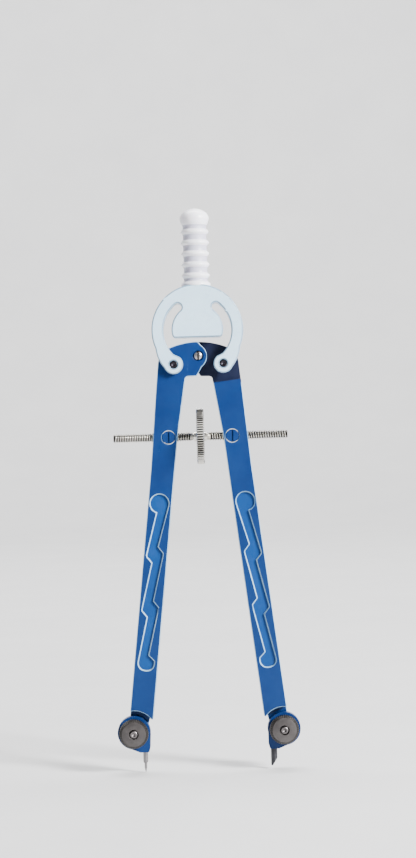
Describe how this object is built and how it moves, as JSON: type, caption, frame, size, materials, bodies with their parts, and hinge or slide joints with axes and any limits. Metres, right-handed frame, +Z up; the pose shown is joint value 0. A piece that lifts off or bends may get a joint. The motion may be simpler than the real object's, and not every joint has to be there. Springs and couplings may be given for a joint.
{
  "type": "drawing compass",
  "caption": "Bow compass with a centre thumb wheel: two legs hinged under a round yoke and grip, a threaded spindle, and knee-jointed feet for a needle and a lead.",
  "frame": {"origin": "on the paper, midway between the needle's point and the lead's point", "axes": "+Z up along the compass's axis to the grip, the front with the clamp nuts faces -Y, +X to the lead's side"},
  "size_m": [0.0566, 0.0172, 0.1744],
  "materials": {
    "grip": "white, smooth",
    "yoke": "pale blue-grey, satin",
    "leg_paint": "deep blue, semi-gloss",
    "nickel": "bright nickel plate",
    "steel": "plain steel",
    "nut": "dull grey plate",
    "pin": "dark oxide",
    "lead": "graphite, ground"
  },
  "bodies": {
    "handle": {"grip": "grip", "yoke": "yoke"},
    "left_leg": {"left_leg": "leg_paint", "left_yoke_pin": "pin", "left_clamp_screw": "steel", "left_clamp_washer": "steel", "centre_screw": "steel", "centre_nut": "steel", "pivot_washer": "steel"},
    "left_trunnion": {"left_trunnion": "leg_paint"},
    "left_foot": {"left_foot": "leg_paint"},
    "left_clamp_nut": {"left_clamp_nut": "nut"},
    "right_leg": {"right_leg": "leg_paint", "right_yoke_pin": "pin", "right_clamp_screw": "steel", "right_clamp_washer": "steel"},
    "right_trunnion": {"right_trunnion": "leg_paint"},
    "right_foot": {"right_foot": "leg_paint"},
    "right_clamp_nut": {"right_clamp_nut": "nut"},
    "spindle": {"spindle": "nickel"},
    "thumb_wheel": {"thumb_wheel": "nickel"},
    "needle": {"needle": "steel"},
    "lead": {"lead": "lead"}
  },
  "joints": [
    {"name": "thumb_wheel_turn", "type": "hinge", "parent": "spindle", "child": "thumb_wheel", "pos_m": [0, 0, 0.1036], "axis": [1, 0, 0], "range_deg": [-1412, 6025]},
    {"name": "spindle_slide", "type": "slide", "parent": "left_trunnion", "child": "spindle", "axis": [1, 0, 0], "range_m": [-0.003, 0.0126]},
    {"name": "left_leg_pivot", "type": "hinge", "parent": "handle", "child": "left_leg", "pos_m": [-0.0077, 0, 0.12605], "axis": [0, 1, 0], "range_deg": [-8.2, 35]},
    {"name": "left_trunnion_turn", "type": "hinge", "parent": "left_leg", "child": "left_trunnion", "pos_m": [-0.0099, 0, 0.1036], "axis": [0, -1, 0], "range_deg": [-8.25, 35.05]},
    {"name": "left_foot_knee", "type": "hinge", "parent": "left_leg", "child": "left_foot", "pos_m": [-0.02323, 0, 0.0125], "axis": [0, -1, 0], "range_deg": [-15, 35]},
    {"name": "left_nut_turn", "type": "hinge", "parent": "left_leg", "child": "left_clamp_nut", "pos_m": [-0.02323, 0, 0.0125], "axis": [0, -1, 0], "range_deg": [0, 720]},
    {"name": "right_leg_pivot", "type": "hinge", "parent": "handle", "child": "right_leg", "pos_m": [0.0077, 0, 0.12605], "axis": [0, -1, 0], "range_deg": [-8.25, 35.05]},
    {"name": "right_trunnion_turn", "type": "hinge", "parent": "right_leg", "child": "right_trunnion", "pos_m": [0.0099, 0, 0.1036], "axis": [0, 1, 0], "range_deg": [-8.25, 35.05]},
    {"name": "right_foot_knee", "type": "hinge", "parent": "right_leg", "child": "right_foot", "pos_m": [0.02323, 0, 0.0125], "axis": [0, 1, 0], "range_deg": [-15, 35]},
    {"name": "right_nut_turn", "type": "hinge", "parent": "right_leg", "child": "right_clamp_nut", "pos_m": [0.02323, 0, 0.0125], "axis": [0, -1, 0], "range_deg": [0, 720]},
    {"name": "needle_slide", "type": "slide", "parent": "left_foot", "child": "needle", "axis": [0, 0, 1], "range_m": [-0.003, 0.0045]},
    {"name": "lead_slide", "type": "slide", "parent": "right_foot", "child": "lead", "axis": [0, 0, 1], "range_m": [-0.003, 0.0045]}
  ],
  "couplings": [
    {"joint": "spindle_slide", "follows": "left_leg_pivot", "m_per_rad": 0.020531},
    {"joint": "thumb_wheel_turn", "follows": "left_leg_pivot", "ratio": 172},
    {"joint": "left_trunnion_turn", "follows": "left_leg_pivot", "ratio": 1},
    {"joint": "right_leg_pivot", "follows": "left_leg_pivot", "ratio": 1},
    {"joint": "right_trunnion_turn", "follows": "left_leg_pivot", "ratio": 1}
  ]
}
